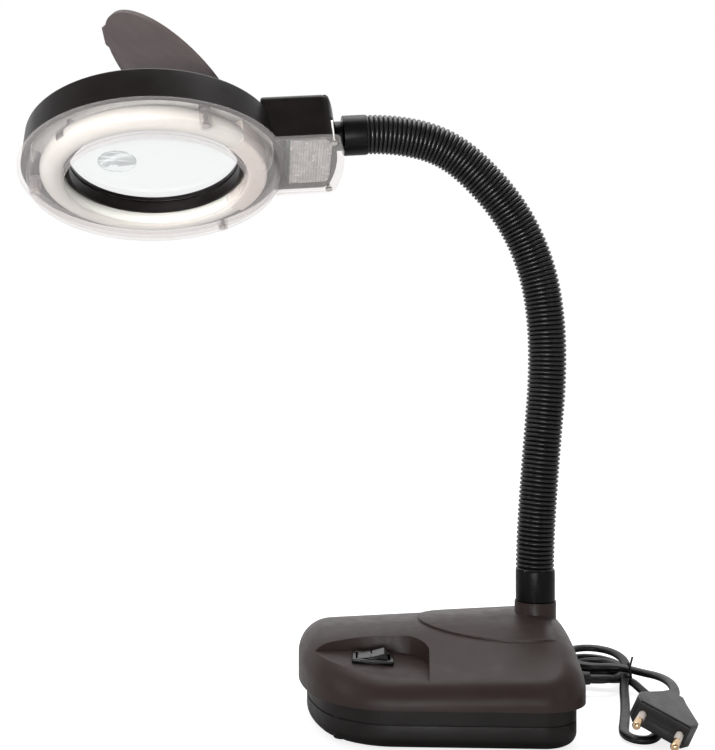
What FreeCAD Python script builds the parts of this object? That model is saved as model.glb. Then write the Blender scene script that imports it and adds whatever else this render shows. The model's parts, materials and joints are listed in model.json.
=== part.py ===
# Desk magnifying lamp: weighted base, gooseneck, ring light head with lens and hinged lid.
# Millimetres, +Z up. The origin is on the surface the lamp stands on, under the foot of the neck.
# The switch end of the base is -X, and the head hangs over that end.
import FreeCAD, Part
import math
import os

V = FreeCAD.Vector
UP = V(0, 0, 1)

# Base plan, symmetric about the X axis
rear_x = 16.0               # flat rear edge
rear_corner_r = 22.0
half_depth = 74.0
side_taper = 2.5            # degrees, the sides close in towards the front
front_corner_r = 47.0
front_r = 108.0
front_tip_x = -128.6

# Base heights
seam_z = 21.0               # cover meets tray
crown_z = 53.3              # top of the cover at the foot of the neck
crown_r = 140.0             # crown radius across the base
crown_tilt = 2.86           # degrees, falling towards the front
cover_fillet = 14.0
wall = 2.5
overhang = 4.5              # the cover stands this far outside the tray
tray_z = 0.8
tray_floor = 2.4
tray_fillet = 6.0
groove_z = 13.0
groove_depth = 0.7
pad_thickness = 1.6
pad_inset = 14.0
lip_inset = 7.0             # inner edge of the cover's lower lip
lip_height = 2.0
oval_centre_x = -4.0        # raised oval round the neck
oval_length, oval_width, oval_rise = 60.0, 41.0, 1.1
oval_fade = 4.0             # its larger rear fillet makes the oval fade out towards the rear

# Switch recess, with a floor that leans towards the near side, and the rocker switch that stands on it
recess_tip = (-121.0, -35.2)
recess_back = (-92.0, -26.2)
recess_shoulder = (-70.0, -27.9)
recess_end = (-60.5, -42.0)
floor_fall_x, floor_fall_y = 0.07, -0.09   # sideways parts of the floor's upward normal
switch_place = (-89.0, -41.0, 37.85)
bezel_length, bezel_width, bezel_height = 21.0, 13.6, 2.2
window_length, window_width = 17.4, 10.0
switch_depth = 13.4
pivot_z = -1.0              # from here to the terminals, heights are above the recess floor
rocker_r = 8.4
rocker_span = 54.0          # half angle between the rocker's tips
rocker_tilt = 14.0          # rest position, switch end down
stub_axle_r = 1.5

# Gooseneck: links are arcs of equal length, each with its own turn towards the front, in degrees
socket_r, socket_top = 11.2, 59.9
collar_r = 10.6
neck_foot_z = 77.0
neck_foot_x = -0.2
neck_lean = -0.75           # degrees at the foot, negative leans to the rear
link_length = 29.17
link_turns = (-2.9, -1.1, -0.3, 5.1, 8.2, 14.0, 15.5, 12.4, 27.8, 16.2)
arm_yaw = 6.0               # the plane of the neck is turned about the foot
sleeve_r, sleeve_bore = 10.4, 8.2
core_r, core_bore = 5.8, 3.0
ball_gap = 0.3
root_tube_r = 6.4
upper_collar_length = 12.7

# Head, in its own frame: x along the axis from lens to neck, y away from the viewer, z out of the top
head_slope, head_roll = 4.2, 18.6
head_reach = 99.8           # lens axis to the end face of the upper collar
neck_height = 17.5          # neck axis above the rim plane
ring_r_low, ring_r_top = 67.2, 64.9
ring_low, ring_top = 2.1, 20.4
hollow_r, bore_top = 59.0, 13.4   # the top is hollowed from this radius down to the top of the bore
shell = 2.0
box_start, box_end_r = 56.5, 95.3
box_half, box_top = 27.0, 27.6
tube_ring_r, tube_r, tube_z = 52.3, 5.9, 0.9
cap_angle_near, cap_angle_far = -37.0, 40.0
lens_r, lens_rim, lens_low = 44.6, 3.0, 7.4
lens_dome = 4.6
eye_x, eye_y, eye_r = -19.0, -3.5, 9.8
bore_inner, seat_r, bore_outer = 43.6, 44.8, 46.2
rim_r, dish_r, dish_z = 69.0, 64.5, -6.8
clear_wall = 1.3
tail_half, tail_end_r = 28.5, 98.8
boss_radius, boss_r = 61.3, 2.9
boss_angles = (-62.0, 58.0, 180.0)
tail_screws = ((92.0, -23.9), (92.0, 23.9))
lid_r, lid_thickness = 45.6, 2.2
lid_pin_x, lid_pin_z, lid_pin_r = 47.0, 23.8, 1.0
lid_open = 42.2             # degrees open in the modelled position

# Mains lead: flat twin flex, tied in a hank behind the base
flex_d = 5.2
gland_y, gland_z = 28.0, 10.0
gland_length = 24.0
lead_route = ((35.5, 28.0, 10.0), (42.5, 28.0, 10.0), (49.0, 30.5, 9.2), (52.0, 36.2, 8.2))
loop_route = ((61.5, 35.0, 6.3), (64.0, 24.0, 4.4), (66.5, 12.0, 3.0), (65.5, -1.0, 2.7), (62.0, -15.0, 2.7),
              (58.0, -29.0, 2.7), (54.5, -42.0, 2.7), (52.0, -51.0, 2.7), (46.0, -57.5, 2.7),
              (39.5, -56.0, 2.7), (36.5, -49.0, 2.7), (38.0, -40.0, 2.7), (41.5, -28.0, 2.7),
              (45.0, -15.0, 2.7), (48.5, -1.0, 2.7), (51.5, 12.0, 3.0), (54.0, 24.0, 4.4), (56.0, 35.0, 6.3))
tail_route = ((59.5, 41.0, 11.0), (66.5, 30.0, 12.5), (72.2, 17.0, 14.0), (74.5, 3.0, 14.3),
              (72.8, -11.0, 14.0), (68.51, -23.49, 13.70), (64.44, -32.62, 13.53))
hank_low, hank_high = (24.0, 33.5), (66.0, 86.0)
hank_height = 18.0
plug_centre = (49.8, -65.5, 12.9)
plug_yaw, plug_pitch, plug_roll = -24.0, 1.0, 24.0
plug_pin_pitch, plug_pin_r, plug_pin_length = 19.0, 2.0, 19.0


def export(node, shape):
    shape.exportStep("parts/" + node + ".step")


def polygon(points, z):
    corners = [V(x, y, z) for x, y in points]
    return Part.Face(Part.makePolygon(corners + corners[:1]))


def turned(profile, angle=360.0):
    """Solid turned about Z from an outline of (radius, z) points."""
    corners = [V(r, 0, z) for r, z in profile]
    face = Part.Face(Part.makePolygon(corners + corners[:1]))
    return face.revolve(V(0, 0, 0), UP, angle)


def ring(outer, inner, low, high):
    return turned([(inner, low), (outer, low), (outer, high), (inner, high)])


def rod(radius, start, end):
    axis = end - start
    return Part.makeCylinder(radius, axis.Length, start, axis)


def box(low, high):
    return Part.makeBox(high[0] - low[0], high[1] - low[1], high[2] - low[2], V(*low))


def hexagon(across_flats, start, axis, height):
    """Hexagonal prism along an axis."""
    radius = across_flats / math.sqrt(3)
    points = [(radius * math.cos(math.radians(60 * i)), radius * math.sin(math.radians(60 * i))) for i in range(6)]
    prism = polygon(points, 0).extrude(V(0, 0, height))
    prism.Placement = FreeCAD.Placement(start, FreeCAD.Rotation(UP, axis))
    return prism


def routed_tube(points, diameter):
    """Straight runs joined by tangent arcs, each as large as its two runs allow. Prints the arcs' radii."""
    points = [V(*p) for p in points]
    edges, radii, start = [], [], points[0]
    for before, corner, after in zip(points, points[1:], points[2:]):
        run_in, run_out = corner - before, after - corner
        turn = run_in.getAngle(run_out)
        reach = 0.45 * min(run_in.Length, run_out.Length)
        radii.append(reach / math.tan(turn / 2))
        run_in.normalize()
        run_out.normalize()
        arc_start, arc_end = corner - run_in * reach, corner + run_out * reach
        towards = (run_out - run_in).normalize()
        middle = corner + towards * (math.hypot(reach, radii[-1]) - radii[-1])
        edges.append(Part.LineSegment(start, arc_start).toShape())
        edges.append(Part.Arc(arc_start, middle, arc_end).toShape())
        start = arc_end
    edges.append(Part.LineSegment(start, points[-1]).toShape())
    path = Part.Wire(edges)
    section = Part.Wire(Part.Circle(points[0], points[1] - points[0], diameter / 2).toShape())
    tube = path.makePipeShell([section], True, False)
    expected = math.pi * diameter ** 2 / 4 * path.Length
    print("tube of %.0f mm, volume %.3f of section x length, radii" % (path.Length, tube.Volume / expected),
          [round(r, 1) for r in radii])
    return tube


# Base outline and its solids

def base_wire(inset, z):
    """Outline of the base at a height, moved inwards: a chain of tangent lines and arcs."""
    rear = rear_x - inset
    rear_r, corner_r, tip_r = rear_corner_r - inset, front_corner_r - inset, front_r - inset
    taper = math.radians(side_taper)
    across = (-math.sin(taper), math.cos(taper))
    rear_centre = (rear_x - rear_corner_r, half_depth - rear_corner_r)
    front_centre = (front_tip_x + front_r, 0.0)
    offset = across[0] * rear_centre[0] + across[1] * rear_centre[1] + rear_corner_r
    # the front corner's centre is this far from the side line and from the front arc's centre
    reach = front_r - front_corner_r
    swing = math.pi - math.asin((offset - front_corner_r - across[0] * front_centre[0]) / reach) + taper
    corner_centre = (front_centre[0] + reach * math.cos(swing), reach * math.sin(swing))

    def at(centre, radius, angle, side):
        return V(centre[0] + radius * math.cos(angle), side * (centre[1] + radius * math.sin(angle)), z)

    def arc(centre, radius, start, end, side):
        return Part.Arc(at(centre, radius, start, side), at(centre, radius, (start + end) / 2, side),
                        at(centre, radius, end, side)).toShape()
    up = math.pi / 2 + taper
    edges = [Part.LineSegment(V(rear, -rear_centre[1], z), V(rear, rear_centre[1], z)).toShape()]
    for side in (1, -1):
        edges.append(arc(rear_centre, rear_r, 0, up, side))
        edges.append(Part.LineSegment(at(rear_centre, rear_r, up, side), at(corner_centre, corner_r, up, side)).toShape())
        edges.append(arc(corner_centre, corner_r, up, swing, side))
    tip_start, tip_end = at(front_centre, tip_r, swing, 1), at(front_centre, tip_r, swing, -1)
    edges.append(Part.Arc(tip_start, at(front_centre, tip_r, math.pi, 1), tip_end).toShape())
    return Part.Wire(Part.__sortEdges__(edges))


def base_prism(inset, low, high):
    return Part.Face(base_wire(inset, low)).extrude(V(0, 0, high - low))


def crown(rise):
    """Long cylinder whose top is the crown of the cover."""
    tilt = math.radians(crown_tilt)
    along = V(math.cos(tilt), 0, math.sin(tilt))
    top = V(0, 0, crown_z + rise)
    centre = top - V(-math.sin(tilt), 0, math.cos(tilt)) * (crown_r + rise)
    body = Part.makeCylinder(crown_r + rise, 400, centre - along * 250, along)
    body.rotate(centre, along, 180)
    return body


def top_edges(shape, low):
    """Edges of the upper face, apart from the upright ones."""
    return [e for e in shape.Edges if e.BoundBox.ZMin > low]


def cover_form(inset, low, rise, fillet):
    body = base_prism(inset, low, 62).common(crown(rise))
    return body.makeFillet(fillet, top_edges(body, low + 1))


def switch_frame(lift=0.0):
    """Placement whose XY plane is the recess floor, with its origin at the middle of the switch."""
    normal = V(floor_fall_x, floor_fall_y, 1).normalize()
    return FreeCAD.Placement(V(*switch_place) + normal * lift, FreeCAD.Rotation(UP, normal))


def in_switch(shape):
    shape.Placement = switch_frame().multiply(shape.Placement)
    return shape


def recess_tool(outset):
    """Form that cuts the switch recess, open towards the near side of the base."""
    low = 20.0

    def p(point, dx, dy):
        return V(point[0] + dx, point[1] + dy, low)
    tip = p(recess_tip, -outset, outset)
    back = p(recess_back, 0, outset)
    shoulder = p(recess_shoulder, outset * 0.5, outset)
    end = p(recess_end, outset, 0)
    far_out = V(end.x - 2.5, -90, low)
    edges = [
        Part.Arc(tip, back, shoulder).toShape(),
        Part.Arc(shoulder, V(recess_end[0] - 3.4 + outset, recess_shoulder[1] - 5.8 + outset * 0.7, low), end).toShape(),
        Part.LineSegment(end, far_out).toShape(),
        Part.LineSegment(far_out, V(-135, -90, low)).toShape(),
        Part.LineSegment(V(-135, -90, low), tip).toShape(),
    ]
    above_floor = box((-150, -150, 0), (150, 150, 60))
    above_floor.Placement = switch_frame(-outset)
    return Part.Face(Part.Wire(edges)).extrude(V(0, 0, 40)).common(above_floor)


screw_places = ((-104.0, 50.0), (-104.0, -50.0), (-8.0, 50.0), (-8.0, -50.0))
screw_post_r, screw_r, screw_head_r = 4.6, 1.5, 3.4


def make_cover():
    body = cover_form(0, seam_z, 0, cover_fillet)
    oval = Part.Ellipse(V(oval_centre_x, 0, 30), oval_length, oval_width).toShape()
    oval = Part.Face(Part.Wire(oval)).extrude(V(0, 0, 40))
    raised = cover_form(0, seam_z, oval_rise, cover_fillet + oval_fade).common(oval)
    body = body.fuse(raised)
    body = body.cut(recess_tool(0))
    cavity = cover_form(wall, seam_z + lip_height, -wall, cover_fillet - wall)
    cavity = cavity.cut(recess_tool(wall))
    body = body.cut(cavity)
    body = body.cut(base_prism(lip_inset, seam_z - 1, seam_z + lip_height + 0.5))
    socket = rod(socket_r, V(0, 0, 42), V(0, 0, socket_top))
    body = body.fuse(socket)
    for x, y in screw_places:
        post = rod(screw_post_r, V(x, y, seam_z), V(x, y, 60)).common(cover_form(1, seam_z, -1, cover_fillet - 1))
        body = body.fuse(post.cut(recess_tool(1)))
    body = body.cut(rod(root_tube_r + 0.1, V(0, 0, 30), V(0, 0, 70)))
    for x, y in screw_places:
        body = body.cut(rod(screw_r - 0.15, V(x, y, seam_z - 1), V(x, y, seam_z + 10)))
    half = ((bezel_length - 1.8) / 2 + 0.1, (bezel_width - 1.4) / 2 + 0.1)
    body = body.cut(in_switch(box((-half[0], -half[1], -9), (half[0], half[1], 6))))
    return body.removeSplitter()


def make_tray():
    top = seam_z - 0.1
    body = base_prism(overhang, tray_z, top)
    bottom = [e for e in body.Edges if e.BoundBox.ZMax < tray_z + 0.1]
    body = body.makeFillet(tray_fillet, bottom)
    body = body.cut(base_prism(overhang + wall, tray_z + tray_floor, top + 1))
    inner = base_prism(overhang + wall, tray_z + tray_floor, tray_z + 16)
    fill = base_prism(overhang + wall, tray_z + tray_floor, tray_z + 16).cut(
        inner.makeFillet(tray_fillet - wall, [e for e in inner.Edges if e.BoundBox.ZMax < tray_z + tray_floor + 0.1]))
    body = body.fuse(fill)
    groove = base_prism(overhang - 1, groove_z - 0.4, groove_z + 0.4).cut(
        base_prism(overhang + groove_depth, groove_z - 1, groove_z + 1))
    body = body.cut(groove)
    body = body.cut(base_prism(pad_inset - 0.2, tray_z - 1, pad_thickness))
    for x, y in screw_places:
        body = body.fuse(rod(screw_post_r, V(x, y, tray_z + 1.5), V(x, y, seam_z - 0.1)))
    for x, y in screw_places:
        body = body.cut(rod(screw_r + 0.2, V(x, y, -1), V(x, y, seam_z + 1)))
        body = body.cut(rod(screw_head_r + 0.3, V(x, y, -1), V(x, y, 5.2)))
    wall_x = rear_x - overhang
    body = body.cut(rod(gland_neck_r + 0.1, V(wall_x - 6, gland_y, gland_z), V(wall_x + 2, gland_y, gland_z)))
    body = body.cut(rod(clamp_r + 0.2, V(wall_x - 6.5, gland_y, gland_z), V(wall_x - 2.55, gland_y, gland_z)))
    return body.removeSplitter()


gland_neck_r, clamp_r = 3.9, 5.4


def make_ballast():
    slab = base_prism(15.5, tray_z + tray_floor + 0.1, 11.6)
    step = box((-70, -50, 11.6), (-24, 50, 19.5))
    body = slab.fuse(step)
    for x, y in screw_places:
        body = body.cut(rod(screw_post_r + 1.0, V(x, y, 0), V(x, y, 25)))
    body = body.cut(box((-8, gland_y - 12, 0), (30, gland_y + 12, 25)))
    return body.removeSplitter()


def make_base_screws():
    screws = []
    for x, y in screw_places:
        head = rod(screw_head_r, V(x, y, 2.9), V(x, y, 5.1))
        slot = box((x - 2.2, y - 0.4, 2.8), (x + 2.2, y + 0.4, 3.7)).fuse(
            box((x - 0.4, y - 2.2, 2.8), (x + 0.4, y + 2.2, 3.7)))
        screws.append(head.fuse(rod(screw_r - 0.2, V(x, y, 5.1), V(x, y, seam_z + 9))).cut(slot))
    return Part.makeCompound(screws)


def make_switch_housing():
    bezel = box((-bezel_length / 2, -bezel_width / 2, 0), (bezel_length / 2, bezel_width / 2, bezel_height))
    bezel = bezel.makeFillet(0.7, [e for e in bezel.Edges if e.BoundBox.ZMax > 0.1])
    length, width = bezel_length - 1.8, bezel_width - 1.4
    body = box((-length / 2, -width / 2, -switch_depth), (length / 2, width / 2, 0)).fuse(bezel)
    body = body.cut(box((-window_length / 2, -window_width / 2, pivot_z - 3.7), (window_length / 2, window_width / 2, 9)))
    return body.cut(rod(stub_axle_r + 0.06, V(0, -width, pivot_z), V(0, width, pivot_z)))


def make_rocker():
    """Sector with a dished top, on stub axles, tilted to its rest position."""
    def point(angle, radius):
        a = math.radians(90 + rocker_tilt + angle)
        return V(radius * math.cos(a), 0, pivot_z + radius * math.sin(a))
    left, right = point(rocker_span, rocker_r), point(-rocker_span, rocker_r)
    low_left, low_right = point(88, rocker_r), point(-88, rocker_r)
    edges = [
        Part.Arc(left, point(0, 4.4), right).toShape(),
        Part.Arc(right, point(-70, rocker_r), low_right).toShape(),
        Part.LineSegment(low_right, low_left).toShape(),
        Part.Arc(low_left, point(70, rocker_r), left).toShape(),
    ]
    half = window_width / 2 - 0.3
    body = Part.Face(Part.Wire(edges))
    body.translate(V(0, -half, 0))
    body = body.extrude(V(0, 2 * half, 0))
    hub = rod(2.8, V(0, -half, pivot_z), V(0, half, pivot_z))
    axle_half = (bezel_width - 1.4) / 2 - 0.1
    axle = rod(stub_axle_r, V(0, -axle_half, pivot_z), V(0, axle_half, pivot_z))
    return body.fuse([hub, axle]).removeSplitter()


def make_switch_terminals():
    low = -switch_depth - 7.0
    blades = [box((x - 0.4, -2.4, low), (x + 0.4, 2.4, -switch_depth - 0.1)) for x in (-6.5, 0.0, 6.5)]
    return Part.makeCompound(blades)


def make_terminal_block():
    body = box((-18, -38, 11.8), (2, -22, 20.3))
    for x in (-13.0, -3.0):
        body = body.cut(rod(1.8, V(x, -34, 14), V(x, -34, 21)))
        body = body.cut(rod(1.8, V(x, -26, 14), V(x, -26, 21)))
    return body


# Neck root: threaded tube through the cover, nut below it, smooth collar above it

def make_root_tube():
    tube = rod(root_tube_r, V(0, 0, 34), V(0, 0, 66))
    return tube.cut(rod(4.0, V(0, 0, 33), V(0, 0, 67)))


def make_root_nut():
    nut = hexagon(22.0, V(0, 0, 36.6), UP, 5.2)
    return nut.cut(rod(root_tube_r + 0.05, V(0, 0, 30), V(0, 0, 50)))


def make_lower_collar():
    collar = rod(collar_r, V(0, 0, 60.1), V(0, 0, neck_foot_z - 0.25))
    collar = collar.makeFillet(0.5, [e for e in collar.Edges if e.BoundBox.ZMax - e.BoundBox.ZMin < 0.1])
    return collar.cut(rod(root_tube_r + 0.05, V(0, 0, 50), V(0, 0, 80)))


# Gooseneck links, in the plane of the neck and then turned by arm_yaw

def joint_points():
    """Start of each link, with the heading there: x, z and degrees from vertical towards the front."""
    x, z, heading = neck_foot_x, neck_foot_z, neck_lean
    found = [(x, z, heading)]
    for turn in link_turns:
        half = math.radians(turn / 2)
        chord = link_length * math.sin(half) / half
        middle = math.radians(heading) + half
        x -= chord * math.sin(middle)
        z += chord * math.cos(middle)
        heading += turn
        found.append((x, z, heading))
    return found


joints = joint_points()


def heading_vector(heading):
    a = math.radians(heading)
    return V(-math.sin(a), 0, math.cos(a))


def turn_arm(shape):
    shape.rotate(V(0, 0, 0), UP, arm_yaw)
    return shape


def link_body(index, outer, bore):
    """Curved tube from one joint to the next, with a ball at its foot and a seat for the next ball at its end."""
    x, z, heading = joints[index]
    foot, end = V(x, 0, z), V(joints[index + 1][0], 0, joints[index + 1][1])
    along = heading_vector(heading)
    side = V(math.cos(math.radians(heading)), 0, math.sin(math.radians(heading)))
    turn = link_turns[index]
    radius = link_length / math.radians(turn)
    centre = foot - side * radius
    last = index == len(link_turns) - 1

    def swept(r):
        disc = Part.Face(Part.Wire(Part.Circle(foot, along, r).toShape()))
        return disc.revolve(centre, V(0, -1, 0), turn)

    def ball(r, at):
        form = Part.makeSphere(r)
        form.Placement = FreeCAD.Placement(at, FreeCAD.Rotation(UP, V(0, 1, 0)))
        return form
    body = swept(outer)
    if index:
        body = body.fuse(ball(outer, foot)).removeSplitter()
        body = body.cut(rod(bore, foot - along * (outer + 1), foot))
    body = body.cut(swept(bore))
    if not last:
        body = body.cut(ball(outer + ball_gap, end))
    return body


def make_core(index):
    body = link_body(index, core_r, core_bore)
    if index == 0:
        foot, along = V(neck_foot_x, 0, neck_foot_z), heading_vector(neck_lean)
        stem = rod(core_r, foot - along * 10.8, foot).cut(rod(core_bore, foot - along * 12, foot + along))
        body = body.fuse(stem).removeSplitter()
    return body


# Head placement: the axis of the head carries on from the last link

def head_placement():
    rotation = FreeCAD.Rotation(arm_yaw, -head_slope, -head_roll)
    x, z, _ = joints[-1]
    end = FreeCAD.Rotation(arm_yaw, 0, 0).multVec(V(x, 0, z))
    axis = rotation.multVec(V(1, 0, 0))
    upward = rotation.multVec(UP)
    return FreeCAD.Placement(end - axis * (head_reach + upper_collar_length) - upward * neck_height, rotation)


head_frame = head_placement()


def in_head(shape):
    shape.Placement = head_frame.multiply(shape.Placement)
    return shape


def on_ring(angle, radius, z=0.0):
    a = math.radians(angle)
    return V(radius * math.cos(a), radius * math.sin(a), z)


def tail_prism(start, end_r, half, low, high, corner=4.0):
    """Straight sides and an end that is an arc about the lens axis, with rounded corners."""
    side = math.sqrt(end_r ** 2 - half ** 2)
    edges = [
        Part.LineSegment(V(start, half, low), V(start, -half, low)).toShape(),
        Part.LineSegment(V(start, -half, low), V(side, -half, low)).toShape(),
        Part.Arc(V(side, -half, low), V(end_r, 0, low), V(side, half, low)).toShape(),
        Part.LineSegment(V(side, half, low), V(start, half, low)).toShape(),
    ]
    body = Part.Face(Part.Wire(edges)).extrude(V(0, 0, high - low))
    corners = [e for e in body.Edges if e.BoundBox.ZMax - e.BoundBox.ZMin > (high - low) * 0.9
               and e.BoundBox.XMin > start + 5 and e.BoundBox.XMax - e.BoundBox.XMin < 0.1]
    return body.makeFillet(corner, corners)


def make_housing():
    ring_body = turned([(0, ring_low), (ring_r_low, ring_low), (ring_r_top, ring_top), (hollow_r, ring_top),
                        (48.2, bore_top), (0, bore_top)])
    ring_body = ring_body.makeFillet(1.6, [e for e in ring_body.Edges if e.BoundBox.ZMin > ring_top - 0.1])
    box_body = tail_prism(box_start, box_end_r, box_half, ring_low, box_top, 5.0)
    box_body = box_body.makeFillet(3.6, [e for e in box_body.Edges if e.BoundBox.ZMin > box_top - 0.1])
    body = ring_body.fuse(box_body)
    light_space = turned([(bore_outer, -1), (ring_r_low - shell + 0.35, -1), (ring_r_top - shell, ring_top - shell),
                          (hollow_r - 0.8, ring_top - shell), (48.4, bore_top - shell), (bore_outer, bore_top - shell)])
    body = body.cut(light_space)
    box_space = tail_prism(box_start + 4, box_end_r - shell, box_half - shell, -1, box_top - shell, 3.5)
    body = body.cut(box_space.cut(turned([(0, -2), (ring_r_low, -2), (ring_r_low, 30), (0, 30)])))
    body = body.cut(rod(2.6, V(58, 8, 10), V(72, 8, 10)))
    body = body.cut(rod(bore_inner, V(0, 0, -5), V(0, 0, 40)))
    body = body.cut(rod(seat_r, V(0, 0, -5), V(0, 0, lens_low + lens_rim + 0.1)))
    body = body.cut(ring(bore_outer + 5, bore_inner - 3, -5, 1.0).common(rod(bore_outer, V(0, 0, -5), V(0, 0, 1.0))))
    for angle in boss_angles:
        body = body.fuse(rod(boss_r, on_ring(angle, boss_radius, ring_low), on_ring(angle, boss_radius, ring_top - 1)))
    for x, y in tail_screws:
        post = rod(3.4, V(x, y, ring_low), V(x, y, box_top - 1)).common(
            tail_prism(box_start, box_end_r - 0.5, box_half - 0.5, 0, box_top, 4.5))
        body = body.fuse(post)
    for side in (-1, 1):
        lug = box((lid_pin_x - 2.6, min(side * 8.4, side * 12.0), bore_top - 1.0),
                  (lid_pin_x + 2.6, max(side * 8.4, side * 12.0), lid_pin_z))
        lug = lug.fuse(rod(2.6, V(lid_pin_x, side * 8.4, lid_pin_z), V(lid_pin_x, side * 12.0, lid_pin_z)))
        body = body.fuse(lug)
    body = body.cut(rod(lid_pin_r + 0.02, V(lid_pin_x, -20, lid_pin_z), V(lid_pin_x, 20, lid_pin_z)))
    for angle in boss_angles:
        body = body.cut(rod(1.1, on_ring(angle, boss_radius, -2), on_ring(angle, boss_radius, 14)))
    for x, y in tail_screws:
        body = body.cut(rod(1.1, V(x, y, -2), V(x, y, 14)))
    body = body.cut(rod(stub_r + 0.05, V(80, 0, neck_height), V(110, 0, neck_height)))
    return body.removeSplitter()


stub_r, stub_flange_r = 5.0, 7.7


def make_lens():
    """Plano-convex lens, flat side down."""
    dome_r = (lens_r ** 2 + lens_dome ** 2) / (2 * lens_dome)
    disc = rod(lens_r, V(0, 0, lens_low), V(0, 0, lens_low + lens_rim))
    top = lens_low + lens_rim + lens_dome
    cap_body = rod(lens_r - 1.2, V(0, 0, lens_low + 1), V(0, 0, top + 1)).common(
        Part.makeSphere(dome_r, V(0, 0, top - dome_r)))
    return disc.fuse(cap_body).removeSplitter()


def make_eye_lens():
    """Small stronger lens bonded under the main one."""
    rim, dome = 1.2, 1.6
    dome_r = (eye_r ** 2 + dome ** 2) / (2 * dome)
    disc = rod(eye_r, V(0, 0, -rim), V(0, 0, 0))
    body = disc.fuse(rod(eye_r, V(0, 0, -rim - dome - 1), V(0, 0, -rim)).common(
        Part.makeSphere(dome_r, V(0, 0, -rim - dome + dome_r))))
    body.translate(V(eye_x, eye_y, lens_low))
    return body


def make_light_tube():
    section = Part.Face(Part.Wire(Part.Circle(V(tube_ring_r, 0, tube_z), V(0, 1, 0), tube_r).toShape()))
    tube = section.revolve(V(0, 0, 0), UP, 360 + cap_angle_near - cap_angle_far)
    tube.rotate(V(0, 0, 0), UP, cap_angle_far)
    return tube


def make_tube_cap():
    profile = [(47.8, -4.4), (58.0, -4.4), (58.0, 9.0), (47.8, 9.0)]
    body = turned(profile, cap_angle_far - cap_angle_near - 0.6)
    body = body.makeFillet(1.6, [e for e in body.Edges if e.BoundBox.ZMax < -4.3])
    body.rotate(V(0, 0, 0), UP, cap_angle_near + 0.3)
    return body


def make_reflector():
    low, high = ring_top - shell - 2.2, ring_top - shell - 1.2
    foot_low, foot_high = bore_top - shell - 1.6, bore_top - shell - 0.6
    body = turned([(47.2, foot_low), (48.6, foot_low), (57.9, low), (61.0, low), (61.6, 9.5), (62.4, 9.5),
                   (62.0, high), (57.6, high), (48.2, foot_high), (47.2, foot_high)])
    for angle in boss_angles:
        body = body.cut(rod(boss_r + 0.4, on_ring(angle, boss_radius, 0), on_ring(angle, boss_radius, 30)))
    return body


clip_angles = (105.0, 150.0, 225.0)


def make_tube_clips():
    clips = []
    for angle in clip_angles:
        start, end = on_ring(angle, tube_ring_r, tube_z), V(0, 0, 0)
        tangent = on_ring(angle + 90, 1.0)
        outer = rod(tube_r + 0.7, start - tangent * 3, start + tangent * 3)
        inner = rod(tube_r + 0.15, start - tangent * 4, start + tangent * 4)
        clip = outer.cut(inner)
        clip = clip.cut(ring(80, 30, -20, tube_z - 2.0)).cut(rod(bore_outer + 0.3, V(0, 0, -20), V(0, 0, 30)))
        stem = rod(1.8, start + UP * (tube_r + 0.5), V(start.x, start.y, 10.95))
        clip = clip.fuse(stem.cut(inner))
        clips.append(max(clip.Solids, key=lambda solid: solid.Volume))
    return Part.makeCompound(clips)


def make_clear_cover():
    """Rim flange, dished ring that clears the light tube, and the flat tail under the box."""
    w = clear_wall
    dish = turned([(46.2, dish_z), (dish_r - 1.0, dish_z), (dish_r, dish_z + 1.0), (dish_r, 0.0), (rim_r, 0.0),
                   (rim_r, 2.0), (dish_r - w, 2.0), (dish_r - w, dish_z + w), (46.2 + w, dish_z + w),
                   (46.2 + w, -4.2), (46.2, -4.2)])
    tail = tail_prism(50, tail_end_r, tail_half, 0.0, 1.7, 5.0)
    lip = tail_prism(50, tail_end_r, tail_half, -0.8, 0.0, 5.0).cut(
        tail_prism(40, tail_end_r - 1.6, tail_half - 1.6, -1, 1, 3.4))
    tail = tail.fuse(lip).cut(rod(dish_r - 0.4, V(0, 0, -5), V(0, 0, 5)))
    body = dish.fuse(tail)
    for angle in boss_angles:
        body = body.fuse(rod(boss_r, on_ring(angle, boss_radius, dish_z - 0.5), on_ring(angle, boss_radius, 2.0)))
    for angle in boss_angles:
        body = body.cut(rod(1.3, on_ring(angle, boss_radius, -20), on_ring(angle, boss_radius, 5)))
        body = body.cut(rod(2.2, on_ring(angle, boss_radius, -20), on_ring(angle, boss_radius, dish_z + 1.9)))
    for x, y in tail_screws:
        body = body.cut(rod(1.3, V(x, y, -5), V(x, y, 5)))
    return body.removeSplitter()


def make_cover_screws():
    screws = []
    for angle in boss_angles:
        head_low = dish_z + 0.2
        head = rod(2.0, on_ring(angle, boss_radius, head_low), on_ring(angle, boss_radius, head_low + 1.6))
        screws.append(head.fuse(rod(0.95, on_ring(angle, boss_radius, head_low + 1.6),
                                    on_ring(angle, boss_radius, 12))))
    for x, y in tail_screws:
        screws.append(rod(1.9, V(x, y, -1.4), V(x, y, -0.05)).fuse(rod(0.95, V(x, y, -0.05), V(x, y, 12))))
    return Part.makeCompound(screws)


def make_prism_panel():
    body = tail_prism(69.5, 92.6, 22.0, 1.9, 3.4, 2.0)
    for x, y in tail_screws:
        body = body.cut(rod(4.0, V(x, y, 0), V(x, y, 5)))
    return body


def make_driver_board():
    body = box((68.6, -22, 6.0), (86, 22, 7.6))
    return body


def make_driver_parts():
    parts = [rod(4.0, V(75, -14, 7.7), V(75, -14, 19)), rod(3.0, V(81, -5, 7.7), V(81, -5, 11.4)),
             ring(6.5, 3.0, 7.7, 12.4)]
    parts[2].translate(V(76, 4, 0))
    parts.append(box((70, 13, 7.7), (82, 20, 16)))
    return Part.makeCompound(parts)


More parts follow.
